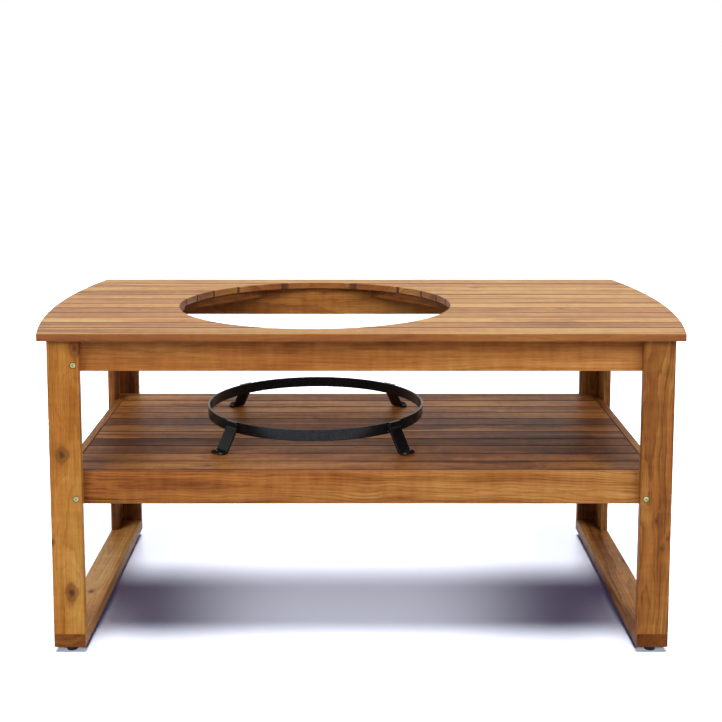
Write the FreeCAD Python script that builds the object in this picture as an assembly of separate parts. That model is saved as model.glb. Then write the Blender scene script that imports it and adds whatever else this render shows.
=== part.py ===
import FreeCAD, Part

import math
import os

from FreeCAD import Vector

# Outdoor grill table: a slatted top with a round opening, a slatted shelf, two leg frames on foot rails,
# and a loose steel cradle on the shelf. Millimetres. X runs along the table, -Y is the front, Z is up
# from the floor.

# Overall
TABLE_HEIGHT = 780.0
TOP_LENGTH = 1600.0
END_BOW = 46.0
TOP_THICKNESS = 18.0

# Top boards, front to back
EDGE_BOARD_WIDTH = 76.0
INNER_BOARD_WIDTH = 65.0
INNER_BOARD_COUNT = 10
BOARD_GAP = 3.5

# Round opening in the top
OPENING_RADIUS = 357.0
OPENING_X = -119.0

# Leg frames
STOCK = 20.0
END_OVERHANG = 65.0
SIDE_OVERHANG = 15.0
POST_FACE_WIDTH = 75.0
POST_SIDE_WIDTH = 83.0
FOOT_RAIL_HEIGHT = 33.0
GLIDE_HEIGHT = 14.0
GLIDE_TOP_RADIUS = 16.0
GLIDE_FLOOR_RADIUS = 13.0
GLIDE_INSET = 26.0

# Top frame and shelf
APRON_HEIGHT = 78.0
SHELF_DROP = 340.0
SHELF_RAIL_HEIGHT = 78.0
SLAT_COUNT = 11
SLAT_GAP = 3.0
SLAT_THICKNESS = 16.0
SLAT_END_GAP = 2.0

# Battens under the boards and slats
BATTEN_WIDTH = 40.0
BATTEN_HEIGHT = 25.0
SHELF_BATTEN_COUNT = 5
OPENING_MARGIN = 10.0

# Eased edges of the timber
EDGE_ROUND = 2.0

# Socket-head bolts with a washer and a nut
BOLT_RADIUS = 3.0
BOLT_HEAD_RADIUS = 6.5
BOLT_HEAD_HEIGHT = 5.0
BOLT_HEAD_PROUD = 0.5
BOLT_SOCKET = 5.0
BOLT_SOCKET_DEPTH = 3.5
BOLT_TIP = 2.0
BOLT_ABOVE_EDGE = 18.0
BOLT_FROM_POST_EDGE = 14.0
WASHER_RADIUS = 9.0
WASHER_THICKNESS = 1.6
NUT_FLATS = 10.0
NUT_THICKNESS = 5.0

# Wood screws, long screws in the foot rails, and the screws of the glides
SCREW_RADIUS = 2.0
SCREW_HEAD_RADIUS = 4.0
SCREW_LENGTH = 35.0
LONG_SCREW_RADIUS = 2.5
LONG_SCREW_HEAD_RADIUS = 5.0
LONG_SCREW_LENGTH = 78.0
LONG_SCREW_SPREAD = 20.0
GLIDE_SCREW_RADIUS = 2.0
GLIDE_SCREW_HEAD_RADIUS = 4.0
GLIDE_SCREW_LENGTH = 30.0
GLIDE_SCREW_SUNK = 2.0

# Cross-shaped recess in every screw head
CROSS_WIDTH = 1.2
CROSS_DEPTH = 1.4
CROSS_TO_RIM = 1.8

# Dowels
DOWEL_RADIUS = 4.0
DOWEL_LENGTH = 32.0
DOWEL_IN_FACE = 11.0
POST_DOWEL_COUNT = 4
RAIL_DOWEL_SPACING = 30.0
RAIL_DOWEL_ABOVE_BOLT = 14.0
BATTEN_DOWEL_SPACING = 24.0

# Cradle
CRADLE_CLEARANCE = 9.0
STRAP_WIDTH = 40.0
STRAP_THICKNESS = 6.0
STRAP_REACH = 62.0
STRAP_COUNT = 4
STRAP_TIP_RISE = 7.0
STRAP_FLAT = 18.0
STRAP_LEAN = 33.0
STRAP_TAB = 16.0
STRAP_BEND = 9.0
STRAP_TIP_ROUND = 14.0
RING_WALL = 5.0
RING_HEIGHT = 28.0
CRADLE_HEIGHT = 74.0
STEEL_EDGE_ROUND = 1.0

# Fits
BORE_CLEARANCE = 0.1
BOLT_HOLE_CLEARANCE = 0.3
COUNTERBORE_CLEARANCE = 1.5
BORE_END_CLEARANCE = 1.0
THREAD_CLEARANCE = 0.05

# Worked out from the sizes above
INNER_BOARDS_DEPTH = INNER_BOARD_COUNT * INNER_BOARD_WIDTH + (INNER_BOARD_COUNT + 1) * BOARD_GAP
TOP_DEPTH = 2 * EDGE_BOARD_WIDTH + INNER_BOARDS_DEPTH
HALF_DEPTH = TOP_DEPTH / 2
BOARDS_Z = TABLE_HEIGHT - TOP_THICKNESS
POST_OUTER_X = TOP_LENGTH / 2 - END_OVERHANG
POST_OUTER_Y = HALF_DEPTH - SIDE_OVERHANG
FRAME_OUTER_X = POST_OUTER_X - STOCK
FRAME_OUTER_Y = POST_OUTER_Y - STOCK
FRAME_INNER_X = FRAME_OUTER_X - STOCK
FRAME_INNER_Y = FRAME_OUTER_Y - STOCK
FOOT_TOP_Z = GLIDE_HEIGHT + FOOT_RAIL_HEIGHT
APRON_Z = BOARDS_Z - APRON_HEIGHT
SHELF_Z = TABLE_HEIGHT - SHELF_DROP
SHELF_RAIL_Z = SHELF_Z - SHELF_RAIL_HEIGHT
SLATS_Z = SHELF_Z - SLAT_THICKNESS
TOP_BATTEN_Z = BOARDS_Z - BATTEN_HEIGHT
SHELF_BATTEN_Z = SLATS_Z - BATTEN_HEIGHT
END_BATTEN_X = FRAME_INNER_X - BATTEN_WIDTH / 2
BRACE_DISTANCE = OPENING_RADIUS + OPENING_MARGIN
RIGHT_BATTEN_X = OPENING_X + BRACE_DISTANCE + BATTEN_WIDTH / 2
LEFT_BATTEN_X = OPENING_X - BRACE_DISTANCE - BATTEN_WIDTH / 2
TOP_BATTENS_X = [
    -END_BATTEN_X,
    LEFT_BATTEN_X,
    RIGHT_BATTEN_X,
    (RIGHT_BATTEN_X + END_BATTEN_X) / 2,
    END_BATTEN_X,
]
SHELF_BATTEN_PITCH = 2 * END_BATTEN_X / (SHELF_BATTEN_COUNT - 1)
SHELF_BATTENS_X = [-END_BATTEN_X + i * SHELF_BATTEN_PITCH for i in range(SHELF_BATTEN_COUNT)]
SLAT_WIDTH = (2 * FRAME_INNER_Y - (SLAT_COUNT + 1) * SLAT_GAP) / SLAT_COUNT
SLAT_PITCH = SLAT_WIDTH + SLAT_GAP

UP = Vector(0, 0, 1)

# Two points this near are the same point
SAME = 0.001

SIDES = {"left": -1, "right": 1}
ENDS = {"front": -1, "back": 1}

# Node name to its solids, and node name to the tools that bore it
pieces = {}
bores = {}


def add(node, *solids):
    pieces.setdefault(node, []).extend(solids)


def bore(node, tool):
    bores.setdefault(node, []).append(tool)


def block(x0, x1, y0, y1, z0, z1):
    """Box between two corners, given in any order."""
    low = Vector(min(x0, x1), min(y0, y1), min(z0, z1))
    return Part.makeBox(abs(x1 - x0), abs(y1 - y0), abs(z1 - z0), low)


def along(edge, run):
    return edge.tangentAt(edge.FirstParameter).cross(run).Length < SAME


def eased(solid, run):
    """The solid with its edges along the run direction rounded over."""
    return solid.makeFillet(EDGE_ROUND, [e for e in solid.Edges if along(e, run)])


def placed(solid, point, direction):
    """A solid built along +Z from the origin, turned to run from the point along the direction."""
    solid = solid.copy()
    solid.Placement = FreeCAD.Placement(point, FreeCAD.Rotation(UP, direction))
    return solid


def rod(radius, length, point, direction):
    return placed(Part.makeCylinder(radius, length), point, direction)


def hexagon(flats, length, start):
    """Six-sided prism along +Z from the start height."""
    corner = flats / math.sqrt(3)
    points = [Vector(corner * math.cos(a), corner * math.sin(a), start) for a in
              [math.radians(60 * i) for i in range(7)]]
    return Part.Face(Part.makePolygon(points)).extrude(Vector(0, 0, length))


def end_discs():
    """Two large discs with eased rims. Their overlap has the bowed ends of the top."""
    radius = (END_BOW ** 2 + HALF_DEPTH ** 2) / (2 * END_BOW)
    discs = []
    for sx in SIDES.values():
        centre = Vector(sx * (TOP_LENGTH / 2 - radius), 0, BOARDS_Z)
        disc = Part.makeCylinder(radius, TOP_THICKNESS, centre)
        rims = [e for e in disc.Edges if e.BoundBox.ZLength < SAME]
        discs.append(disc.makeFillet(EDGE_ROUND, rims))
    return discs


def opening_cutter():
    """Round cutter for the opening. It flares at both faces of the top, which eases the edges it leaves."""
    wide = OPENING_RADIUS + EDGE_ROUND
    past = EDGE_ROUND
    quarter = EDGE_ROUND * (1 - math.sqrt(0.5))
    top = TABLE_HEIGHT - EDGE_ROUND
    low = BOARDS_Z + EDGE_ROUND
    edges = [
        Part.makeLine(Vector(0, 0, BOARDS_Z - past), Vector(wide, 0, BOARDS_Z - past)),
        Part.makeLine(Vector(wide, 0, BOARDS_Z - past), Vector(wide, 0, BOARDS_Z)),
        Part.Arc(Vector(wide, 0, BOARDS_Z), Vector(OPENING_RADIUS + quarter, 0, BOARDS_Z + quarter),
                 Vector(OPENING_RADIUS, 0, low)).toShape(),
        Part.makeLine(Vector(OPENING_RADIUS, 0, low), Vector(OPENING_RADIUS, 0, top)),
        Part.Arc(Vector(OPENING_RADIUS, 0, top), Vector(OPENING_RADIUS + quarter, 0, TABLE_HEIGHT - quarter),
                 Vector(wide, 0, TABLE_HEIGHT)).toShape(),
        Part.makeLine(Vector(wide, 0, TABLE_HEIGHT), Vector(wide, 0, TABLE_HEIGHT + past)),
        Part.makeLine(Vector(wide, 0, TABLE_HEIGHT + past), Vector(0, 0, TABLE_HEIGHT + past)),
        Part.makeLine(Vector(0, 0, TABLE_HEIGHT + past), Vector(0, 0, BOARDS_Z - past)),
    ]
    cutter = Part.Face(Part.Wire(edges)).revolve(Vector(0, 0, 0), UP, 360)
    cutter.translate(Vector(OPENING_X, 0, 0))
    return cutter


def board_rows():
    """Front and back edge of each top board, from the front."""
    rows = []
    y = -HALF_DEPTH
    for i in range(INNER_BOARD_COUNT + 2):
        width = INNER_BOARD_WIDTH if 0 < i <= INNER_BOARD_COUNT else EDGE_BOARD_WIDTH
        rows.append((y, y + width))
        y += width + BOARD_GAP
    return rows


def top_board_name(i):
    return f"top_board_{i + 1:02d}"


def slat_name(i):
    return f"shelf_slat_{i + 1:02d}"


def make_top_boards():
    left_disc, right_disc = end_discs()
    opening = opening_cutter()
    reach = TOP_LENGTH / 2 + END_BOW
    for i, (y0, y1) in enumerate(board_rows()):
        plank = eased(block(-reach, reach, y0, y1, BOARDS_Z, TABLE_HEIGHT), Vector(1, 0, 0))
        plank = plank.common(left_disc).common(right_disc).cut(opening)
        add(top_board_name(i), *plank.Solids)


def make_frame(names, z0, z1):
    """Two long rails behind the post faces, and two end rails between them inside the side boards."""
    for end, sy in ENDS.items():
        rail = block(-FRAME_OUTER_X, FRAME_OUTER_X, sy * FRAME_INNER_Y, sy * FRAME_OUTER_Y, z0, z1)
        add(names[end], eased(rail, Vector(1, 0, 0)))
    for side, sx in SIDES.items():
        rail = block(sx * FRAME_INNER_X, sx * FRAME_OUTER_X, -FRAME_INNER_Y, FRAME_INNER_Y, z0, z1)
        add(names[side], eased(rail, Vector(0, 1, 0)))
        for end, sy in ENDS.items():
            for i in range(2):
                z = z0 + BOLT_ABOVE_EDGE + RAIL_DOWEL_ABOVE_BOLT + i * RAIL_DOWEL_SPACING
                seat = Vector(sx * (FRAME_INNER_X + STOCK / 2), sy * FRAME_INNER_Y, z)
                add_dowel(names[end], names[side], seat, Vector(0, sy, 0))


def add_dowel(face_node, end_node, seat, into_face):
    """Dowel across a butt joint at the seat: its short end lies in the face, the rest in the other piece."""
    start = seat + into_face * DOWEL_IN_FACE
    add("dowels", rod(DOWEL_RADIUS, DOWEL_LENGTH, start, into_face * -1))
    radius = DOWEL_RADIUS + BORE_CLEARANCE
    bore(face_node, rod(radius, DOWEL_IN_FACE + BORE_END_CLEARANCE, seat, into_face))
    deep = DOWEL_LENGTH - DOWEL_IN_FACE + BORE_END_CLEARANCE
    bore(end_node, rod(radius, deep, seat, into_face * -1))


def cross_recess(head_radius):
    """Recess for the driver, up from the origin into a head of that radius."""
    reach = head_radius - CROSS_TO_RIM
    half = CROSS_WIDTH / 2
    arm = block(-reach, reach, -half, half, 0, CROSS_DEPTH)
    return arm.fuse(block(-half, half, -reach, reach, 0, CROSS_DEPTH))


def countersunk(radius, head_radius, length):
    """Countersunk screw along +Z, its flat head at the origin."""
    head_depth = head_radius - radius
    tip = 2 * radius
    head = Part.makeCone(head_radius, radius, head_depth)
    shank = Part.makeCylinder(radius, length - head_depth - tip, Vector(0, 0, head_depth))
    point = Part.makeCone(radius, radius / 4, tip, Vector(0, 0, length - tip))
    return head.fuse([shank, point]).removeSplitter().cut(cross_recess(head_radius))


def countersink(radius, head_radius, length):
    """The bore that such a screw sits in."""
    hole = Part.makeCylinder(radius + BORE_CLEARANCE, length + BORE_END_CLEARANCE)
    seat_depth = head_radius - radius
    seat = Part.makeCone(head_radius + BORE_CLEARANCE, radius + BORE_CLEARANCE, seat_depth)
    return hole.fuse(seat)


def add_screw(group, nodes, point, sizes):
    """Screw that goes straight up from the point through the nodes."""
    add(group, placed(countersunk(*sizes), point, UP))
    for node in nodes:
        bore(node, placed(countersink(*sizes), point, UP))


def make_battens(node, xs, z0, face_nodes):
    """Battens from the front rail to the back rail, dowelled into both."""
    for x in xs:
        batten = block(x - BATTEN_WIDTH / 2, x + BATTEN_WIDTH / 2, -FRAME_INNER_Y, FRAME_INNER_Y,
                       z0, z0 + BATTEN_HEIGHT)
        add(node, eased(batten, Vector(0, 1, 0)))
        for end, sy in ENDS.items():
            for shift in (-BATTEN_DOWEL_SPACING / 2, BATTEN_DOWEL_SPACING / 2):
                seat = Vector(x + shift, sy * FRAME_INNER_Y, z0 + BATTEN_HEIGHT / 2)
                add_dowel(face_nodes[end], node, seat, Vector(0, sy, 0))


def make_braces():
    """Short diagonal braces from the battens beside the opening to the aprons, under the cut board ends."""
    inner = BRACE_DISTANCE * math.sqrt(2)
    outer = (BRACE_DISTANCE + BATTEN_WIDTH) * math.sqrt(2)
    for sx in SIDES.values():
        for sy in ENDS.values():
            corners = [
                (BRACE_DISTANCE, inner - BRACE_DISTANCE),
                (BRACE_DISTANCE, outer - BRACE_DISTANCE),
                (outer - FRAME_INNER_Y, FRAME_INNER_Y),
                (inner - FRAME_INNER_Y, FRAME_INNER_Y),
            ]
            points = [Vector(OPENING_X + sx * x, sy * y, TOP_BATTEN_Z) for x, y in corners]
            face = Part.Face(Part.makePolygon(points + points[:1]))
            add("opening_braces", face.extrude(Vector(0, 0, BATTEN_HEIGHT)))


def brace_screws():
    """Screws along the middle line of each brace, into every board whose middle crosses it."""
    sizes = (SCREW_RADIUS, SCREW_HEAD_RADIUS, SCREW_LENGTH)
    middle = (BRACE_DISTANCE + BATTEN_WIDTH / 2) * math.sqrt(2)
    nearest = (BRACE_DISTANCE + BATTEN_WIDTH) * math.sqrt(2) - BRACE_DISTANCE
    farthest = FRAME_INNER_Y - BATTEN_WIDTH
    for i, (y0, y1) in enumerate(board_rows()):
        y = (y0 + y1) / 2
        if nearest < abs(y) < farthest:
            for sx in SIDES.values():
                point = Vector(OPENING_X + sx * (middle - abs(y)), y, TOP_BATTEN_Z)
                add_screw("board_screws", ["opening_braces", top_board_name(i)], point, sizes)


def make_shelf_slats():
    for i in range(SLAT_COUNT):
        y0 = -FRAME_INNER_Y + SLAT_GAP + i * SLAT_PITCH
        reach = FRAME_INNER_X - SLAT_END_GAP
        slat = block(-reach, reach, y0, y0 + SLAT_WIDTH, SLATS_Z, SHELF_Z)
        add(slat_name(i), slat.makeFillet(EDGE_ROUND, slat.Edges))


def batten_screws():
    """One screw up through each batten into each board or slat that lies over it."""
    sizes = (SCREW_RADIUS, SCREW_HEAD_RADIUS, SCREW_LENGTH)
    for x in TOP_BATTENS_X:
        for i, (y0, y1) in enumerate(board_rows()):
            y = (max(y0, -FRAME_INNER_Y) + min(y1, FRAME_INNER_Y)) / 2
            add_screw("board_screws", ["top_battens", top_board_name(i)], Vector(x, y, TOP_BATTEN_Z), sizes)
    for x in SHELF_BATTENS_X:
        for i in range(SLAT_COUNT):
            y = -FRAME_INNER_Y + SLAT_GAP + i * SLAT_PITCH + SLAT_WIDTH / 2
            add_screw("slat_screws", ["shelf_battens", slat_name(i)], Vector(x, y, SHELF_BATTEN_Z), sizes)


def post_names(end, side):
    return f"post_face_{end}_{side}", f"post_side_{end}_{side}"


def make_posts():
    inner_x = POST_OUTER_X - POST_FACE_WIDTH
    inner_y = FRAME_OUTER_Y - POST_SIDE_WIDTH
    dowel_pitch = (BOARDS_Z - FOOT_TOP_Z) / POST_DOWEL_COUNT
    for end, sy in ENDS.items():
        for side, sx in SIDES.items():
            face, flank = post_names(end, side)
            plate = block(sx * inner_x, sx * POST_OUTER_X, sy * FRAME_OUTER_Y, sy * POST_OUTER_Y,
                          FOOT_TOP_Z, BOARDS_Z)
            add(face, eased(plate, UP))
            wing = block(sx * FRAME_OUTER_X, sx * POST_OUTER_X, sy * inner_y, sy * FRAME_OUTER_Y,
                         FOOT_TOP_Z, BOARDS_Z)
            add(flank, eased(wing, UP))
            for i in range(POST_DOWEL_COUNT):
                z = FOOT_TOP_Z + (i + 0.5) * dowel_pitch
                seat = Vector(sx * (POST_OUTER_X - STOCK / 2), sy * FRAME_OUTER_Y, z)
                add_dowel(face, flank, seat, Vector(0, sy, 0))


def make_feet():
    """Foot rails with their glides, and the long screws up into the posts."""
    rail_middle_x = POST_OUTER_X - POST_FACE_WIDTH / 2
    long_screw = (LONG_SCREW_RADIUS, LONG_SCREW_HEAD_RADIUS, LONG_SCREW_LENGTH)
    glide_screw = (GLIDE_SCREW_RADIUS, GLIDE_SCREW_HEAD_RADIUS, GLIDE_SCREW_LENGTH)
    for side, sx in SIDES.items():
        rail_node = f"foot_rail_{side}"
        inner_x = POST_OUTER_X - POST_FACE_WIDTH
        rail = block(sx * inner_x, sx * POST_OUTER_X, -POST_OUTER_Y, POST_OUTER_Y, GLIDE_HEIGHT, FOOT_TOP_Z)
        add(rail_node, rail.makeFillet(EDGE_ROUND, rail.Edges))
        for end, sy in ENDS.items():
            face, flank = post_names(end, side)
            for shift in (-LONG_SCREW_SPREAD, LONG_SCREW_SPREAD):
                point = Vector(sx * rail_middle_x + shift, sy * (POST_OUTER_Y - STOCK / 2), GLIDE_HEIGHT)
                add_screw("foot_screws", [rail_node, face], point, long_screw)
            flank_y = FRAME_OUTER_Y - POST_SIDE_WIDTH / 2
            point = Vector(sx * (POST_OUTER_X - STOCK / 2), sy * flank_y, GLIDE_HEIGHT)
            add_screw("foot_screws", [rail_node, flank], point, long_screw)
            centre = Vector(sx * rail_middle_x, sy * (POST_OUTER_Y - GLIDE_INSET), 0)
            glide = Part.makeCone(GLIDE_FLOOR_RADIUS, GLIDE_TOP_RADIUS, GLIDE_HEIGHT, centre)
            add("glides", glide)
            recess = Part.makeCylinder(GLIDE_SCREW_HEAD_RADIUS + BORE_CLEARANCE, GLIDE_SCREW_SUNK, centre)
            bore("glides", recess)
            sunk = centre + Vector(0, 0, GLIDE_SCREW_SUNK)
            add_screw("glide_screws", ["glides", rail_node], sunk, glide_screw)


def make_bolt():
    """Socket-head bolt along +Z, starting at the timber's surface, and its washer, nut and clearance bore."""
    recess = BOLT_HEAD_HEIGHT - BOLT_HEAD_PROUD
    through = 2 * STOCK
    head = Part.makeCylinder(BOLT_HEAD_RADIUS, BOLT_HEAD_HEIGHT, Vector(0, 0, -BOLT_HEAD_PROUD))
    rim = [e for e in head.Edges if e.BoundBox.ZMax < recess - BOLT_HEAD_PROUD]
    head = head.makeChamfer(BOLT_HEAD_PROUD, rim)
    end = through + WASHER_THICKNESS + NUT_THICKNESS + BOLT_TIP
    shank = Part.makeCylinder(BOLT_RADIUS, end - recess, Vector(0, 0, recess))
    socket = hexagon(BOLT_SOCKET, BOLT_SOCKET_DEPTH, -BOLT_HEAD_PROUD)
    bolt = head.fuse(shank).removeSplitter().cut(socket)
    hole = Part.makeCylinder(BOLT_RADIUS + BOLT_HOLE_CLEARANCE, through)
    counterbore = Part.makeCylinder(BOLT_HEAD_RADIUS + COUNTERBORE_CLEARANCE, recess)
    washer = Part.makeCylinder(WASHER_RADIUS, WASHER_THICKNESS, Vector(0, 0, through))
    washer = washer.cut(Part.makeCylinder(BOLT_RADIUS + BOLT_HOLE_CLEARANCE, end))
    nut = hexagon(NUT_FLATS, NUT_THICKNESS, through + WASHER_THICKNESS)
    nut = nut.cut(Part.makeCylinder(BOLT_RADIUS + THREAD_CLEARANCE, end))
    return bolt, washer, nut, hole.fuse(counterbore)


def make_bolts():
    """Each post is bolted to both frames, through its face board and through its side board."""
    bolt, washer, nut, hole = make_bolt()
    frames = (("apron", APRON_Z + BOLT_ABOVE_EDGE), ("shelf_rail", SHELF_RAIL_Z + BOLT_ABOVE_EDGE))
    face_x = POST_OUTER_X - POST_FACE_WIDTH + BOLT_FROM_POST_EDGE
    side_y = FRAME_OUTER_Y - POST_SIDE_WIDTH / 2
    for end, sy in ENDS.items():
        for side, sx in SIDES.items():
            face, flank = post_names(end, side)
            for frame, z in frames:
                seats = [
                    (face, f"{frame}_{end}", Vector(sx * face_x, sy * POST_OUTER_Y, z), Vector(0, -sy, 0)),
                    (flank, f"{frame}_{side}", Vector(sx * POST_OUTER_X, sy * side_y, z), Vector(-sx, 0, 0)),
                ]
                # The upper right of the front shows no bolt in its face board.
                if (end, side, frame) == ("front", "right", "apron"):
                    seats = seats[1:]
                for outer, inner, point, direction in seats:
                    add("post_bolts", placed(bolt, point, direction))
                    add("bolt_washers", placed(washer, point, direction))
                    add("bolt_nuts", placed(nut, point, direction))
                    bore(outer, placed(hole, point, direction))
                    bore(inner, placed(hole, point, direction))


def bent_strap(path, bend, width, thickness):
    """Strap bent along a path of corners in the XZ plane, centred on Y. The bend is on its middle line."""
    runs = [(b - a).normalize() for a, b in zip(path, path[1:])]
    normals = [Vector(-run.z, 0, run.x) for run in runs]
    outline = []
    bends = []
    for offset in (thickness / 2, -thickness / 2):
        line = [path[0] + normals[0] * offset]
        for corner, run, normal, last in zip(path[1:], runs[1:], normals[1:], normals):
            line.append(corner + (last + normal) * (offset / (1 + last.dot(normal))))
            toward = 1 if run.dot(last) > 0 else -1
            bends.append((line[-1], bend - toward * offset))
        line.append(path[-1] + normals[-1] * offset)
        outline = line + outline[::-1]
    strap = Part.Face(Part.makePolygon(outline + outline[:1])).extrude(Vector(0, width, 0))
    for corner, radius in bends:
        fold = [e for e in strap.Edges if e.CenterOfMass.isEqual(corner + Vector(0, width / 2, 0), SAME)]
        strap = strap.makeFillet(radius, fold)
    strap.translate(Vector(0, -width / 2, 0))
    return strap


def strap_rims(strap):
    """The edges round both wide faces of a strap."""
    half = STRAP_WIDTH / 2
    return [e for e in strap.Edges if abs(abs(e.CenterOfMass.y) - half) < SAME]


def make_cradle():
    """Steel ring on bent straps. Their tips pass through the round opening with a named clearance."""
    reach = OPENING_RADIUS - CRADLE_CLEARANCE
    ring_outer = reach - STRAP_REACH
    centre = Vector(OPENING_X, 0, SHELF_Z)
    low = centre + Vector(0, 0, CRADLE_HEIGHT - RING_HEIGHT)
    ring = Part.makeCylinder(ring_outer, RING_HEIGHT, low)
    ring = ring.cut(Part.makeCylinder(ring_outer - RING_WALL, RING_HEIGHT, low))
    rims = [e for e in ring.Edges if not along(e, UP)]
    add("cradle_ring", ring.makeFillet(STEEL_EDGE_ROUND, rims))
    half = STRAP_THICKNESS / 2
    top_x = ring_outer + half
    path = [
        Vector(top_x, 0, CRADLE_HEIGHT),
        Vector(top_x, 0, CRADLE_HEIGHT - STRAP_TAB),
        Vector(top_x + STRAP_LEAN, 0, half),
        Vector(top_x + STRAP_LEAN + STRAP_FLAT, 0, half),
        Vector(reach - half, 0, half + STRAP_TIP_RISE),
    ]
    strap = bent_strap(path, STRAP_BEND, STRAP_WIDTH, STRAP_THICKNESS)
    end = (path[-1] - path[-2]).normalize()
    across = Vector(-end.z, 0, end.x)
    tip = [e for e in strap.Edges if along(e, across) and abs((e.CenterOfMass - path[-1]).dot(end)) < SAME]
    strap = strap.makeFillet(STRAP_TIP_ROUND, tip)
    strap = strap.makeFillet(STEEL_EDGE_ROUND, strap_rims(strap))
    for i in range(STRAP_COUNT):
        arm = strap.copy()
        arm.rotate(Vector(0, 0, 0), UP, 360 / STRAP_COUNT * (i + 0.5))
        arm.translate(centre)
        add(f"cradle_strap_{i + 1}", arm)


def make_all():
    make_top_boards()
    make_frame({"front": "apron_front", "back": "apron_back", "left": "apron_left", "right": "apron_right"},
               APRON_Z, BOARDS_Z)
    make_frame({"front": "shelf_rail_front", "back": "shelf_rail_back", "left": "shelf_rail_left",
                "right": "shelf_rail_right"}, SHELF_RAIL_Z, SHELF_Z)
    make_battens("top_battens", TOP_BATTENS_X, TOP_BATTEN_Z, {"front": "apron_front", "back": "apron_back"})
    make_battens("shelf_battens", SHELF_BATTENS_X, SHELF_BATTEN_Z,
                 {"front": "shelf_rail_front", "back": "shelf_rail_back"})
    make_braces()
    make_shelf_slats()
    make_posts()
    make_feet()
    make_bolts()
    batten_screws()
    brace_screws()
    make_cradle()


def write_parts():
    os.makedirs("parts", exist_ok=True)
    for node, solids in pieces.items():
        tools = bores.get(node, [])
        done = []
        for solid in solids:
            near = [t for t in tools if t.BoundBox.intersect(solid.BoundBox)]
            done += solid.cut(near).Solids if near else [solid]
        shape = done[0] if len(done) == 1 else Part.makeCompound(done)
        shape.exportStep(f"parts/{node}.step")
        print(f"{node}: {len(done)} solids, {shape.Volume / 1000:.1f} cm3, valid {shape.isValid()}")


make_all()
write_parts()
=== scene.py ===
# %% [markdown]
# # A slatted acacia table with a round opening
#
# The table stands in a white studio. Its timber, bolts, glides and steel cradle come from a CAD model whose
# pieces are already in place, in metres. This lesson gives each of them its finish, adds the small welds
# that the model leaves out, and lights the whole as the photograph does.

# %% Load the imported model
import math
import random

import bmesh
import bpy
from mathutils import Matrix, Vector


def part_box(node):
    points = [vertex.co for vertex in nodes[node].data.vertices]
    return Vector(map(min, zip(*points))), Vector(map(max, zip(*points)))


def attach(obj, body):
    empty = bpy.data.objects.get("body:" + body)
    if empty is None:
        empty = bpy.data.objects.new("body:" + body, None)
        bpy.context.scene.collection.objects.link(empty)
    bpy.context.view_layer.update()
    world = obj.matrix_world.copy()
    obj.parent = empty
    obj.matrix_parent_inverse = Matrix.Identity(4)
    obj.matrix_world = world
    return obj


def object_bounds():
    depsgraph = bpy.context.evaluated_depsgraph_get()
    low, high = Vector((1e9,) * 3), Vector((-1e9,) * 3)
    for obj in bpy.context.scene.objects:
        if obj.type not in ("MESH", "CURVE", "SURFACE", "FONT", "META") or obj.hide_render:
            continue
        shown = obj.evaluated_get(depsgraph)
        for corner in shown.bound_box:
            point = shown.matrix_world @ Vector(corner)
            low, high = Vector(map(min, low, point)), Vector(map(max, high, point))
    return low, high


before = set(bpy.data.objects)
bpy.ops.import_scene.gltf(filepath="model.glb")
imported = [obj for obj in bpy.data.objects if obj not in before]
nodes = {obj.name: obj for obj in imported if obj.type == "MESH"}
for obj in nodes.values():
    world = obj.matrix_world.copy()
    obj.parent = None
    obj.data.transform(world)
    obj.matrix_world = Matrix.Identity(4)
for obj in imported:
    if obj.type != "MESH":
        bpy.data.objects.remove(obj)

cad_low, cad_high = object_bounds()
print(f"{len(nodes)} pieces, {cad_high.x - cad_low.x:.3f} m long, {cad_high.z:.3f} m high")

# %% [markdown]
# ## The camera
#
# The photograph looks straight at the long side from a little above the top, and its upright edges stay
# upright. A view camera does that with a level lens that is shifted down. Here part of the view comes from
# such a shift and the rest from a small tilt, so that the same shift still frames the table from other sides.

# %% Camera
CAMERA_X = -0.0217
CAMERA_BEFORE_FRONT = 2.8166
CAMERA_ABOVE_TOP = 0.5573
CAMERA_TILT_DOWN = 6.431
LENS_MM = 61.61
SENSOR_MM = 36
SHIFT_RIGHT = 0.0125
SHIFT_UP = -0.18

camera_data = bpy.data.cameras.new("camera")
camera_data.sensor_width = SENSOR_MM
camera_data.lens = LENS_MM
camera_data.shift_x = SHIFT_RIGHT
camera_data.shift_y = SHIFT_UP
camera = bpy.data.objects.new("camera", camera_data)
camera.location = (CAMERA_X, cad_low.y - CAMERA_BEFORE_FRONT, cad_high.z + CAMERA_ABOVE_TOP)
camera.rotation_euler = (math.pi / 2 - math.radians(CAMERA_TILT_DOWN), 0, 0)
bpy.context.scene.collection.objects.link(camera)
bpy.context.scene.camera = camera
bpy.context.scene.view_settings.view_transform = "Standard"
print(f"camera {CAMERA_BEFORE_FRONT:.2f} m in front of the table")

# %% [markdown]
# ## Sums that become nodes
#
# Wood is a sum of many small patterns, and a sum is easier to read as text than as a net of boxes. A Wire is
# one output of a node: adding or multiplying Wires puts Math nodes into the material. Every other node comes
# from the one method of a Finish, which is a material while it is being made.

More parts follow.
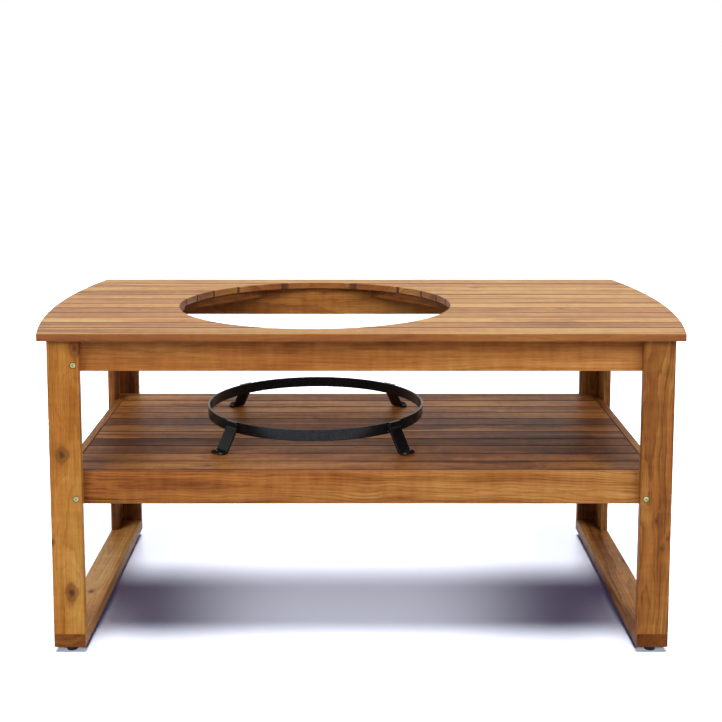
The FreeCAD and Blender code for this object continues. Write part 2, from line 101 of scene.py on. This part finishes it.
# %% Wires
class Wire:
    """One output of a node. Sums on it add Math nodes to its finish."""

    def __init__(self, finish, socket):
        self.finish = finish
        self.socket = socket

    def maths(self, operation, *values):
        """A Math node with these values or Wires."""
        return self.finish.node("ShaderNodeMath", {"operation": operation}, dict(enumerate(values)))

    def __add__(self, other):
        return self.maths("ADD", self, other)

    def __radd__(self, other):
        return self.maths("ADD", other, self)

    def __sub__(self, other):
        return self.maths("SUBTRACT", self, other)

    def __rsub__(self, other):
        return self.maths("SUBTRACT", other, self)

    def __mul__(self, other):
        return self.maths("MULTIPLY", self, other)

    def __rmul__(self, other):
        return self.maths("MULTIPLY", other, self)

    def __truediv__(self, other):
        return self.maths("DIVIDE", self, other)

    def __pow__(self, other):
        return self.maths("POWER", self, other)

    def __abs__(self):
        return self.maths("ABSOLUTE", self)

    def larger(self, other):
        return self.maths("MAXIMUM", self, other)

    def fraction(self):
        return self.maths("FRACT", self)

    def root(self):
        return self.maths("SQRT", self)

    def fade(self, rate):
        """1 where the wire is 0, and less and less as it grows. On a squared distance this is a soft spot."""
        return self.maths("EXPONENT", self * -rate)

    def step(self, start, end):
        """0 before the start, 1 past the end, and a smooth rise between them."""
        settings = {"interpolation_type": "SMOOTHSTEP"}
        return self.finish.node("ShaderNodeMapRange", settings, {0: self, 1: start, 2: end})


# %% Finishes
class Finish:
    """A material, or the sky, while it is being made."""

    def __init__(self, name, kind=bpy.data.materials):
        self.material = kind.new(name)
        self.material.use_nodes = True
        self.tree = self.material.node_tree
        self.tree.nodes.clear()

    def node(self, kind, settings, inputs, output=0):
        """Adds a node of a kind, sets it, fills its sockets with values or Wires, and returns one output."""
        made = self.tree.nodes.new(kind)
        for name, value in settings.items():
            if name == "stops":
                self.set_stops(made.color_ramp.elements, value)
            else:
                setattr(made, name, value)
        for key, value in inputs.items():
            if isinstance(value, Wire):
                self.tree.links.new(value.socket, made.inputs[key])
            else:
                made.inputs[key].default_value = value
        return Wire(self, made.outputs[output]) if made.outputs else None

    @staticmethod
    def set_stops(elements, stops):
        """Fills a ramp with its places and colours. A new ramp has two stops."""
        while len(elements) < len(stops):
            elements.new(0.5)
        for element, (position, colour) in zip(elements, stops):
            element.position = position
            element.color = colour

    def place(self):
        """Where a point lies, in metres."""
        return self.node("ShaderNodeTexCoord", {}, {}, "Object")

    def part(self, vector, axis):
        """One of the three numbers of a place or a direction."""
        return self.node("ShaderNodeSeparateXYZ", {}, {0: vector}, axis)

    def noise(self, place, cells, detail, roughness, seed=0.0):
        """Cloudy noise about 0.5, at so many cells per metre along each direction of the place."""
        moves = {"Vector": place, "Location": (seed, seed, seed), "Scale": cells}
        moved = self.node("ShaderNodeMapping", {}, moves)
        inputs = {"Vector": moved, "Scale": 1.0, "Detail": detail, "Roughness": roughness}
        return self.node("ShaderNodeTexNoise", {}, inputs)

    def in_view(self):
        """1 for what the camera sees, straight, mirrored or through glass, and 0 for light that bounces."""
        rays = ("Is Camera Ray", "Is Glossy Ray", "Is Transmission Ray")
        straight, mirrored, through = (self.node("ShaderNodeLightPath", {}, {}, ray) for ray in rays)
        return straight.larger(mirrored).larger(through)

    def blend(self, amount, first, second, how="MIX"):
        """One colour into another."""
        settings = {"data_type": "RGBA", "blend_type": how}
        return self.node("ShaderNodeMix", settings, {0: amount, 6: first, 7: second}, 2)

    def tinted(self, colour, tint):
        """A colour times a tint, which is a colour too."""
        return self.blend(1.0, colour, tint, "MULTIPLY")

    def surface(self, colour, roughness, bump=None, **fixed):
        """Principled surface. A bump is a height, a strength and a depth in metres. Fixed values go on the
        shader's own sockets."""
        inputs = {"Base Color": colour, "Roughness": roughness}
        inputs.update({name.replace("_", " "): value for name, value in fixed.items()})
        if bump is not None:
            heights = dict(zip(("Height", "Strength", "Distance"), bump))
            inputs["Normal"] = self.node("ShaderNodeBump", {}, heights)
        shader = self.node("ShaderNodeBsdfPrincipled", {}, inputs)
        self.node("ShaderNodeOutputMaterial", {}, {"Surface": shader})
        return self.material


def dress(piece, material):
    """Gives a piece one material. A piece of the CAD model goes by its name."""
    mesh = nodes[piece].data if isinstance(piece, str) else piece.data
    mesh.materials.clear()
    mesh.materials.append(material)


# %% [markdown]
# ## White studio
#
# The photograph has a pure white ground, bright fronts, dark inner corners and one soft, slightly blue shadow
# between the legs, palest in the middle. Large soft suns light the table alike wherever the camera stands,
# and the two from the front sides leave the inner corners dark. Light linking keeps them off the floor, which
# has two steep suns of its own, one from the front and one from behind: its shadow is where the table stops
# both. Three spots reach only the floor too. One makes the middle of the shadow paler, and two keep the floor
# pale round the front glides, so that these stand out.

# %% Suns
def hang(name, data, place, direction):
    """Hangs a lamp at a place, pointing along a direction."""
    lamp = bpy.data.objects.new(name, data)
    lamp.location = place
    lamp.rotation_mode = "QUATERNION"
    lamp.rotation_quaternion = direction.to_track_quat("-Z", "Y")
    bpy.context.scene.collection.objects.link(lamp)
    return lamp


def soft_sun(name, azimuth, elevation, level, softness):
    """A sun, its angles in degrees. At level 1 a surface that faces it shows its own colour."""
    data = bpy.data.lights.new(name, "SUN")
    data.energy = math.pi * level
    data.angle = math.radians(softness)
    around, up = math.radians(azimuth), math.radians(elevation)
    towards = Vector((math.sin(around) * math.cos(up), -math.cos(around) * math.cos(up), math.sin(up)))
    return hang(name, data, (0, 0, 0), -towards)


floor_suns = [
    soft_sun("floor_front_sun", azimuth=0, elevation=76, level=1.35, softness=20),
    soft_sun("floor_back_sun", azimuth=180, elevation=52, level=1.50, softness=20),
]
back_sun = soft_sun("back_sun", azimuth=180, elevation=28, level=0.46, softness=60)
back_sun.visible_glossy = False
table_suns = [
    soft_sun("front_left_sun", azimuth=-42, elevation=36, level=0.56, softness=40),
    soft_sun("front_right_sun", azimuth=42, elevation=36, level=0.52, softness=40),
    back_sun,
]
print(f"{len(floor_suns)} suns for the floor, {len(table_suns)} for the table")

# %% Sky
SKY_COLOUR = (0.90, 0.93, 1.0, 1)
SKY_LEVEL = 0.13
WHITE = (1, 1, 1, 1)

studio = Finish("studio", bpy.data.worlds)
sky = studio.node("ShaderNodeBackground", {}, {"Color": SKY_COLOUR, "Strength": SKY_LEVEL})
white = studio.node("ShaderNodeBackground", {}, {"Color": WHITE, "Strength": 1.0})
either = studio.node("ShaderNodeMixShader", {}, {0: studio.in_view(), 1: sky, 2: white})
studio.node("ShaderNodeOutputWorld", {}, {"Surface": either})
bpy.context.scene.world = studio.material
print(f"sky at {SKY_LEVEL}, seen as white")

# %% Floor
FLOOR_SIZE = 80.0
FLOOR_SEEN = (0.75, 0.78, 0.88, 1)
FLOOR_BOUNCE = (0.15, 0.15, 0.15, 1)
SHADOW_TINT = (0.0, 0.003, 0.038, 1)

floor_mesh = bpy.data.meshes.new("floor")
sheet = bmesh.new()
bmesh.ops.create_grid(sheet, x_segments=1, y_segments=1, size=FLOOR_SIZE / 2)
sheet.to_mesh(floor_mesh)
sheet.free()
floor = bpy.data.objects.new("floor", floor_mesh)
bpy.context.scene.collection.objects.link(floor)

ground = Finish("studio_floor")
in_view = ground.in_view()
shade = ground.blend(in_view, FLOOR_BOUNCE, FLOOR_SEEN)
paper = ground.node("ShaderNodeBsdfDiffuse", {}, {"Color": shade})
tint = ground.node("ShaderNodeEmission", {}, {"Color": SHADOW_TINT, "Strength": in_view})
both = ground.node("ShaderNodeAddShader", {}, {0: paper, 1: tint})
ground.node("ShaderNodeOutputMaterial", {}, {"Surface": both})
dress(floor, ground.material)
print(f"floor {FLOOR_SIZE:.0f} m across")

# %% Spots on the floor
SHADOW_MIDDLE = Vector((-0.02, 0, 0))
LEFT_FOOT = Vector((-0.69, -0.47, 0))
RIGHT_FOOT = Vector((0.69, -0.47, 0))
SPOT_RADIUS = 0.12


def floor_spot(name, target, before, above, watts, cone):
    """Soft-edged spot on a place on the floor, from so far before it and above it."""
    data = bpy.data.lights.new(name, "SPOT")
    data.energy = watts
    data.spot_size = math.radians(cone)
    data.spot_blend = 1.0
    data.shadow_soft_size = SPOT_RADIUS
    place = target + Vector((0, -before, above))
    return hang(name, data, place, target - place)


floor_spots = [
    floor_spot("floor_pool", SHADOW_MIDDLE, before=3.2, above=0.95, watts=700, cone=19),
    floor_spot("left_foot_pool", LEFT_FOOT, before=1.33, above=0.70, watts=200, cone=8),
    floor_spot("right_foot_pool", RIGHT_FOOT, before=1.33, above=0.70, watts=200, cone=8),
]
print(f"{len(floor_spots)} spots on the floor")

# %% Light linking
table_only = bpy.data.collections.new("lit_by_the_table_suns")
floor_only = bpy.data.collections.new("lit_by_the_floor_suns")
for group, state in ((table_only, "EXCLUDE"), (floor_only, "INCLUDE")):
    group.objects.link(floor)
    group.collection_objects[0].light_linking.link_state = state
for lamp in floor_suns + floor_spots:
    lamp.light_linking.receiver_collection = floor_only
for lamp in table_suns:
    lamp.light_linking.receiver_collection = table_only
print(f"{len(floor_suns + floor_spots)} lamps reach only the floor, {len(table_suns)} all but the floor")

# %% [markdown]
# ## Oiled acacia
#
# A tree grows in rings round its pith, and a board is a thin slice cut somewhere beside it. So the shader
# works out how far each point of a board lies from a pith that runs along the board, a little askew, and
# colours it by that distance. Faces, edges and end grain then agree with each other, as in real timber, and
# the leaning pith draws the long pointed arches. Every board has its own pith from a seeded draw.

# %% A board's own directions
DIAGONAL = math.sqrt(0.5)
SEED_RANGE = 50


class Board(Finish):
    """The finish of one board. It knows how far a point lies along, across and deep from the middle."""

    def __init__(self, name, low, high, axes):
        super().__init__(f"acacia_{name}")
        self.draw = random.Random(name)
        self.seed = self.draw.uniform(0, SEED_RANGE)
        self.size = [(high - low)[axis] for axis in axes]
        self.middle = [((low + high) / 2)[axis] for axis in axes]
        place = self.place()
        numbers = (self.part(place, axis) - middle for axis, middle in zip(axes, self.middle))
        self.along, self.across, self.deep = numbers
        self.axes = axes
        if name == "opening_braces":
            self.fold_to_diagonal()
        self.grain = self.node("ShaderNodeCombineXYZ", {}, {0: self.along, 1: self.across, 2: self.deep})

    def fold_to_diagonal(self):
        """Four braces lie round the opening at 45 degrees: this folds them on one and turns its grain."""
        along, across = abs(self.along), abs(self.across)
        self.along = (along - across) * DIAGONAL
        self.across = (along + across) * DIAGONAL

    def own_noise(self, place, cells, detail, roughness, offset):
        """Noise from the board's own seed. The offset keeps its patterns apart from each other."""
        return self.noise(place, cells, detail, roughness, self.seed + offset)


def board_axes(size):
    """The axes of a board's length, width and thickness, from the size of its box."""
    return sorted(range(3), key=lambda axis: -size[axis])


# %% Distance from the pith
PITH_ASIDE = 0.03
PITH_ASKEW = 0.03
PITH_DEPTH = (0.02, 0.07)


def pith_distance(board):
    """How far a point lies from the pith, which runs above or below the board and sways on its way."""
    draw = board.draw
    aside = draw.uniform(-PITH_ASIDE, PITH_ASIDE)
    askew = draw.uniform(-PITH_ASKEW, PITH_ASKEW)
    below = draw.choice((-1, 1)) * draw.uniform(*PITH_DEPTH)
    sway = board.own_noise(board.grain, (1.4, 4.0, 4.0), 2, 0.5, 0) - 0.5
    flame = board.own_noise(board.grain, (3.4, 10.0, 10.0), 3, 0.6, 19) - 0.5
    wobble = board.own_noise(board.grain, (6.0, 30.0, 30.0), 3, 0.55, 7) - 0.5
    side = board.across - aside - board.along * askew + sway * 0.06
    depth = board.deep + below + sway * 0.04
    return (side * side + depth * depth).root() + flame * 0.030 + wobble * 0.009


# %% [markdown]
# A knot is the root of a branch. The rings part round it in a long lens, where they run calmly, and the knot
# itself is an oval with a dark heart, a dark rim and a stain that flares out to one end in two arms. It could
# be painted over the finished wood, but here it also changes the distance to the pith, so that the rings bend
# round it by themselves.

# %% Knots
KNOT_CORE = (0.070, 0.024, 0.010, 1)
KNOT_RING = (0.150, 0.048, 0.014, 1)
CORE_STRENGTH = 0.92
KNOT_PUSH = 1.3
LENS_STRETCH = 0.35
OVAL_STRETCH = 0.66
RIM_PLACE = 0.85
ARM_SLOPE = 0.42


def knotted(board, radius, knots):
    """The distance with the rings pushed aside, how much the late lines still show, the stain and the heart.
    A knot is its place along and across the board and its radius, in metres."""
    calm, stain, heart = 1.0, None, None
    curl = board.own_noise(board.grain, (45.0, 70.0, 70.0), 3, 0.6, 31) - 0.5
    for knot_along, knot_across, knot_radius in knots:
        up = (board.along - (knot_along - board.middle[0])) / knot_radius
        over = (board.across - (knot_across - board.middle[1])) / knot_radius
        lens = (up * LENS_STRETCH) ** 2 + over ** 2
        radius = radius + lens.fade(0.30) * (knot_radius * KNOT_PUSH)
        calm = calm * (1 - lens.fade(0.12) * 0.85)

        near = ((up * OVAL_STRETCH) ** 2 + over ** 2).root() + abs(up * over) * 0.16 + curl
        rim = ((near - RIM_PLACE) * (near - RIM_PLACE)).fade(9.0) * 0.66
        fill = (near * near).fade(1.0) * 0.74
        arms = (abs(over) - up * ARM_SLOPE) * (abs(over) - up * ARM_SLOPE) + curl
        flare = arms.fade(3.2) * up.fade(0.45) * up.step(-0.2, 0.9) * 0.50

        marks = rim.larger(fill).larger(flare)
        stain = marks if stain is None else stain.larger(marks)
        core = (near * near).fade(5.0)
        heart = core if heart is None else heart.larger(core)
    return radius, calm, stain, heart


# %% [markdown]
# One board shows several patterns at once: bands of heartwood, each a few rings wide, thin dark lines where a
# year's growth ended, dark streaks, a curly figure across the grain, long fibres and short open pores. They
# are noises stretched along the grain. Those of the rings are laid out by the distance to the pith, so that
# they bend with it.

# %% Bands, lines, fibres and pores
RING_WIDTH = 0.014
LATE_RING = 0.0065


def add_patterns(board, radius, calm):
    """Keeps each pattern on the board by its name. Streaks, mineral, pores and late lines run from 0 to about
    1, and the others lie about 0."""
    grain = board.grain
    ring_place = {0: radius / RING_WIDTH, 1: board.along * 0.8, 2: board.deep * 3}
    rings = board.node("ShaderNodeCombineXYZ", {}, ring_place)
    board.bands = board.own_noise(rings, (0.60, 1.0, 1.0), 3, 0.62, 13) - 0.5
    board.broad = board.own_noise(rings, (0.14, 0.6, 0.6), 1, 0.5, 29) - 0.5
    board.streaks = board.own_noise(rings, (1.5, 0.7, 0.7), 2, 0.5, 41).step(0.58, 0.74)
    board.mineral = board.own_noise(grain, (2.2, 26.0, 26.0), 3, 0.55, 37).step(0.60, 0.74)
    board.fibres = board.own_noise(grain, (8.0, 300.0, 300.0), 3, 0.62, 3) - 0.5
    board.cloud = board.own_noise(grain, (3.0, 14.0, 14.0), 2, 0.5, 17) - 0.5
    board.pores = board.own_noise(grain, (60.0, 1500.0, 1500.0), 2, 0.5, 5).step(0.56, 0.66)
    board.curly = board.own_noise(grain, (48.0, 13.0, 13.0), 2, 0.55, 23) - 0.5
    year = (radius / LATE_RING + board.bands * 2.0 + board.fibres * 0.5).fraction()
    line = year.step(0.50, 0.95) * (1 - year.step(0.95, 1.0))
    board.late = line * (board.cloud * 2.0 + 0.7) * calm


# %% [markdown]
# Sawn ends drink more oil and turn darker, and so do the sawn edges of some boards. A thin dark line of
# painted shade runs along the narrow gaps between neighbours. The Normal coordinate tells which way a face
# looks, and the distance from the board's edge tells how near a gap is, so both follow the real shape.

# %% Ends, edges and gaps
END_GRAIN = (0.50, 0.36, 0.26, 1)
# Painted shade along the gaps between boards: its tint, and how far from the edge it reaches.
PAINTED_GAP_SHADE = (0.34, 0.27, 0.22, 1)
GAP_SHADE_FROM_EDGE = (0.0002, 0.0026)


def darkened(board, colour, edge, gaps):
    """The colour with darker ends and edges, and a line of painted shade along each gap. Gaps are the sides,
    -1 or 1 across, where a neighbour lies.
    """
    normal = board.node("ShaderNodeTexCoord", {}, {}, "Normal")
    for axis, darker in ((board.axes[0], END_GRAIN), (board.axes[1], edge)):
        facing = abs(board.part(normal, axis)).step(0.55, 0.95)
        colour = board.blend(facing, colour, board.tinted(colour, darker))
    # Painted shade along each gap, darkest at the board's edge and gone about 2.6 mm from it.
    for side in gaps:
        from_edge = board.size[1] / 2 - board.across * side
        gap_shade = 1 - (from_edge + board.fibres * 0.002).step(*GAP_SHADE_FROM_EDGE)
        colour = board.blend(gap_shade, colour, board.tinted(colour, PAINTED_GAP_SHADE))
    return colour


# %% [markdown]
# Now the patterns come together. Their sum is one lightness, which a ramp turns into the browns of heartwood,
# so that dark places are redder and light ones more golden, as in the real wood. Slow drifts of warmth, the
# board's own tint and the marks of its knots are laid over that, and the same fibres and pores roughen the
# shine and give the grain its faint relief.

# %% Acacia
HEARTWOOD = [
    (0.00, (0.062, 0.020, 0.006, 1)),
    (0.24, (0.185, 0.064, 0.015, 1)),
    (0.48, (0.375, 0.147, 0.032, 1)),
    (0.70, (0.530, 0.245, 0.065, 1)),
    (1.00, (0.700, 0.400, 0.150, 1)),
]
MIDDLE_TONE = 0.60
WARMER = (1.04, 0.96, 0.90, 1)
COOLER = (0.97, 1.03, 1.04, 1)
FRAME_SHEEN = 0.12
GRAIN_STRENGTH = 0.15
GRAIN_DEPTH = 0.0006


def acacia(name, low, high, axes, tone, knots=(), gaps=(), sheen=FRAME_SHEEN, edge=WHITE, figure=1.0):
    """Acacia for one board. Its tone is a shift of lightness and a tint. The sheen is how much it reflects,
    the edge what its sawn edges are tinted with, and the figure how strongly its patterns show."""
    shift, tint = tone
    board = Board(name, low, high, axes)
    radius = pith_distance(board)
    calm = 1.0
    if knots:
        radius, calm, stain, heart = knotted(board, radius, knots)
    add_patterns(board, radius, calm)

    growth = board.bands * 1.05 + board.broad * 0.8 + board.cloud * 0.5
    growth = growth - board.streaks * 0.22 - board.mineral * 0.17 - board.late * 0.17
    fine = board.fibres * 0.50 + board.curly * 0.24 - board.pores * 0.10
    light = growth * figure + fine + (MIDDLE_TONE + shift)
    colour = board.node("ShaderNodeValToRGB", {"stops": HEARTWOOD}, {0: light})
    drift = (board.cloud * 2.0 + board.broad * 1.5 + 0.5).step(0.0, 1.0)
    colour = board.tinted(colour, board.blend(drift, WARMER, COOLER))
    colour = board.tinted(colour, (*tint, 1))
    if knots:
        colour = board.blend(stain, colour, KNOT_RING)
        colour = board.blend(heart * CORE_STRENGTH, colour, KNOT_CORE)
    colour = darkened(board, colour, edge, gaps)

    roughness = 0.48 + board.fibres * 0.30 - board.bands * 0.2
    height = board.fibres * 0.6 - board.pores * 0.3
    bump = (height, GRAIN_STRENGTH, GRAIN_DEPTH)
    return board.surface(colour, roughness, bump, Specular_IOR_Level=sheen)


# %% [markdown]
# ## The boards
#
# The boards differ a little, as they come from different trees. Each gets one of a few tones, which make the
# wood lighter or darker and tint it, in the order in which the photograph shows them: the top is light, and
# the shelf dark. The dark tones of the shelf slats and the back posts are partly their own and partly painted
# shade, for the shade they lie in under the top. The knots lie where they show on the legs, with a few more
# on a slat, a foot rail and two top boards. The top is oiled to a sheen, and its sawn edges are darker than
# its faces.

# %% Tones
TONES = {
    "honey": (0.19, (1.00, 1.00, 0.80)),
    "tan": (0.11, (0.98, 1.00, 0.86)),
    "plain": (0.03, (1.00, 1.01, 0.84)),
    "amber": (-0.01, (1.00, 1.01, 0.74)),
    "golden": (0.07, (1.04, 1.00, 0.78)),
    "russet": (0.02, (1.05, 0.97, 1.00)),
    "chestnut": (-0.15, (1.03, 0.94, 0.96)),
    "brown": (-0.10, (0.98, 0.97, 0.97)),
    "umber": (-0.15, (0.97, 0.98, 1.00)),
    "walnut": (-0.22, (1.00, 0.98, 1.00)),
    "dark": (-0.28, (1.00, 0.98, 1.00)),
}
# The front board's amber is a little darker: partly its own tone, partly painted shade of the grill left out
# above it.
TOP_TONES = [
    "amber", "plain", "honey", "plain", "tan", "honey", "plain", "tan", "plain", "honey", "plain", "tan",
]
# The slats' dark tones are partly their own and partly painted shade, for the shade of the top over the
# shelf.
SLAT_TONES_WITH_SHADE = [
    "umber", "walnut", "walnut", "dark", "walnut", "walnut", "dark", "walnut", "dark", "walnut", "umber",
]
FRAME_TONES = {
    "apron_front": "russet",
    "post_face_front_left": "golden",
    "post_side_front_left": "golden",
    "shelf_rail_front": "chestnut",
    # The back posts' darker tones are partly their own and partly painted shade, for the shade under the top.
    "post_face_back_left": "walnut",
    "post_side_back_left": "walnut",
    "post_face_back_right": "umber",
    "post_side_back_right": "umber",
    "shelf_rail_left": "walnut",
    "shelf_rail_right": "umber",
    "foot_rail_left": "umber",
    "foot_rail_right": "umber",
}
tone_names = {f"top_board_{i + 1:02d}": tone for i, tone in enumerate(TOP_TONES)}
tone_names.update({f"shelf_slat_{i + 1:02d}": tone for i, tone in enumerate(SLAT_TONES_WITH_SHADE)})
tone_names.update(FRAME_TONES)
print(f"{len(TONES)} tones, {len(tone_names)} boards with a tone of their own, the others brown")

# %% Knots and looks of single boards
TOP_SHEEN = 0.36
SAWN_EDGE = (0.57, 0.38, 0.24, 1)
LOOKS = {
    "top_board": {"sheen": TOP_SHEEN, "edge": SAWN_EDGE},
    "apron_front": {"figure": 0.55},
}
KNOTS = {
    "post_face_front_left": [
        (0.742, -0.669, 0.013), (0.487, -0.704, 0.015), (0.275, -0.733, 0.006), (0.150, -0.689, 0.015),
    ],
    "post_face_front_right": [(0.327, 0.700, 0.006), (0.283, 0.728, 0.005), (0.259, 0.714, 0.007)],
    "shelf_slat_01": [(-0.37, -0.335, 0.009), (0.42, -0.335, 0.008)],
    "foot_rail_left": [(-0.15, -0.700, 0.009)],
    "top_board_05": [(0.52, -0.085, 0.010)],
    "top_board_10": [(0.33, 0.255, 0.009)],
}


def neighbours(name):
    """The sides of a board or slat that face a gap. The outer sides of the top are open."""
    if name == "top_board_01":
        return (1,)
    if name == f"top_board_{len(TOP_TONES)}":
        return (-1,)
    return (-1, 1) if name.startswith(("top_board", "shelf_slat")) else ()


print(f"{sum(len(places) for places in KNOTS.values())} knots on {len(KNOTS)} boards")

# %% Dress the boards
TIMBER = ("top_board", "shelf_slat", "apron", "shelf_rail", "post_face", "post_side", "foot_rail")
INNER_TIMBER = ("top_battens", "shelf_battens", "opening_braces")
BATTEN_AXES = (1, 0, 2)

timber = [name for name in nodes if name.startswith(TIMBER)]
for name in timber:
    low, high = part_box(name)
    axes = board_axes(high - low)
    tone = TONES[tone_names.get(name, "brown")]
    look = next((look for start, look in LOOKS.items() if name.startswith(start)), {})
    dress(name, acacia(name, low, high, axes, tone, KNOTS.get(name, ()), neighbours(name), **look))
for name in INNER_TIMBER:
    low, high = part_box(name)
    dress(name, acacia(name, low, high, BATTEN_AXES, TONES["brown"]))
print(f"{len(timber)} boards of acacia, and {len(INNER_TIMBER)} groups of battens and braces")

# %% [markdown]
# ## Plated fasteners
#
# The bolts with their washers and nuts are plated in yellow zinc, which is pale gold with faint green and
# rose patches. The screws underneath are plain zinc, a dull grey. One flat colour would do from afar, but a
# bolt head that catches the light shows such patches, so a fine noise mixes two colours and roughens the
# shine in the same places.

# %% Zinc
ZINC_GREEN = (0.24, 0.27, 0.10, 1)
ZINC_ROSE = (0.38, 0.31, 0.18, 1)
STEEL_DULL = (0.50, 0.51, 0.53, 1)
STEEL_BRIGHT = (0.66, 0.66, 0.66, 1)

zinc = Finish("yellow_zinc")
patches = zinc.noise(zinc.place(), (160, 160, 160), 2, 0.5)
plating = zinc.blend(patches.step(0.40, 0.62), ZINC_GREEN, ZINC_ROSE)
zinc.surface(plating, 0.30 + patches * 0.15, Metallic=1.0)
for name in ("post_bolts", "bolt_washers", "bolt_nuts"):
    dress(name, zinc.material)

steel = Finish("zinc_steel")
dull = steel.noise(steel.place(), (300, 300, 300), 3, 0.6)
steel.surface(steel.blend(dull, STEEL_DULL, STEEL_BRIGHT), 0.34 + dull * 0.12, Metallic=1.0)
for name in ("board_screws", "slat_screws", "foot_screws", "glide_screws"):
    dress(name, steel.material)
print("yellow zinc on the bolts, plain zinc on the screws")

# %% [markdown]
# ## Glides and dowels
#
# The glides are moulded in black plastic with a fine matt grain, which is a bump of a fraction of a
# millimetre. The dowels, hidden in their joints, are pale beech with short darker flecks.

# %% Plastic and beech
PLASTIC_DARK = (0.008, 0.008, 0.009, 1)
PLASTIC_WORN = (0.016, 0.016, 0.017, 1)
GRIT_STRENGTH = 0.15
GRIT_DEPTH = 0.0002
BEECH_PALE = (0.60, 0.42, 0.24, 1)
BEECH_FLECK = (0.48, 0.31, 0.17, 1)

glide = Finish("glide_plastic")
grit = glide.noise(glide.place(), (900, 900, 900), 2, 0.5)
plastic = glide.blend(grit, PLASTIC_DARK, PLASTIC_WORN)
glide.surface(plastic, 0.50 + grit * 0.1, (grit, GRIT_STRENGTH, GRIT_DEPTH), Specular_IOR_Level=0.25)
dress("glides", glide.material)

beech = Finish("beech")
flecks = beech.noise(beech.place(), (400, 60, 400), 2, 0.5)
beech.surface(beech.blend(flecks, BEECH_PALE, BEECH_FLECK), 0.6)
dress("dowels", beech.material)
print("black plastic on the glides, beech for the dowels")

# %% [markdown]
# ## The steel cradle
#
# A ring on four bent straps, in gloss black. The paint is smooth but not perfectly so: a faint ripple in it
# breaks up the highlights, and a little dust dulls them in places.

# %% Black paint
PAINT_BLACK = (0.004, 0.004, 0.005, 1)
PAINT_DUSTY = (0.009, 0.009, 0.010, 1)
RIPPLE_STRENGTH = 0.05
RIPPLE_DEPTH = 0.0010

paint = Finish("black_gloss")
ripple = paint.noise(paint.place(), (45, 45, 45), 2, 0.5)
dust = paint.noise(paint.place(), (180, 180, 180), 3, 0.6)
black = paint.blend(dust.step(0.45, 0.75), PAINT_BLACK, PAINT_DUSTY)
paint.surface(black, 0.17 + dust * 0.07, (ripple, RIPPLE_STRENGTH, RIPPLE_DEPTH), Specular_IOR_Level=0.18)
cradle_names = [name for name in nodes if name.startswith("cradle")]
for name in cradle_names:
    dress(name, paint.material)
print(f"black paint on {len(cradle_names)} pieces of the cradle")

# %% [markdown]
# Each strap is welded to the ring down both its sides. A weld cools in overlapping ripples, like a row of
# coins that lean on each other. One bead is drawn up from a small disc, ring by ring, and each ring is wider
# or narrower than the last. The two beads of one strap are then copied round the ring to the others.

# %% Welds
RIPPLES = 8
BEAD_SIDES = 10
BEAD_RADIUS = 0.0026
BEAD_INSET = 0.004
END_WIDTH = 0.4
WAIST_WIDTH = 0.82
STRAP_COUNT = 4
STRAP_HALF_WIDTH = 0.020

ring_low, ring_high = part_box("cradle_ring")
ring_centre = (ring_low + ring_high) / 2
ring_radius = (ring_high.x - ring_low.x) / 2
bead_length = ring_high.z - ring_low.z - 2 * BEAD_INSET


def add_bead(beads, offset):
    """A rippled bead on the +X side of the ring, at an offset along Y."""
    disc = bmesh.ops.create_circle(beads, cap_ends=True, segments=BEAD_SIDES, radius=BEAD_RADIUS * END_WIDTH)
    place = Matrix.Translation((ring_radius, offset, -bead_length / 2))
    bmesh.ops.transform(beads, matrix=place, verts=disc["verts"])
    face = disc["verts"][0].link_faces[0]
    width = END_WIDTH
    widths = [1.0, WAIST_WIDTH] * RIPPLES + [END_WIDTH]
    for wider in widths:
        drawn = bmesh.ops.extrude_face_region(beads, geom=[face])["geom"]
        face = next(item for item in drawn if isinstance(item, bmesh.types.BMFace))
        bmesh.ops.translate(beads, vec=(0, 0, bead_length / len(widths)), verts=face.verts)
        centre = Matrix.Translation(-face.calc_center_median())
        bmesh.ops.scale(beads, vec=(wider / width, wider / width, 1), space=centre, verts=face.verts)
        width = wider


beads = bmesh.new()
for side in (-1, 1):
    add_bead(beads, side * STRAP_HALF_WIDTH)
first_strap = Matrix.Rotation(math.pi / STRAP_COUNT, 3, "Z")
bmesh.ops.rotate(beads, matrix=first_strap, verts=beads.verts)
pair = beads.verts[:] + beads.edges[:] + beads.faces[:]
for turn in range(1, STRAP_COUNT):
    copy = bmesh.ops.duplicate(beads, geom=pair)["geom"]
    verts = [item for item in copy if isinstance(item, bmesh.types.BMVert)]
    bmesh.ops.rotate(beads, matrix=Matrix.Rotation(math.tau / STRAP_COUNT * turn, 3, "Z"), verts=verts)
bmesh.ops.translate(beads, vec=ring_centre, verts=beads.verts)
bmesh.ops.recalc_face_normals(beads, faces=beads.faces)
for face in beads.faces:
    face.smooth = True

# %% The welds as a piece of the cradle
weld_mesh = bpy.data.meshes.new("cradle_welds")
beads.to_mesh(weld_mesh)
beads.free()
welds = bpy.data.objects.new("cradle_welds", weld_mesh)
bpy.context.scene.collection.objects.link(welds)
dress(welds, paint.material)
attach(welds, "cradle")
print(f"{2 * STRAP_COUNT} weld beads, {len(weld_mesh.polygons)} faces")
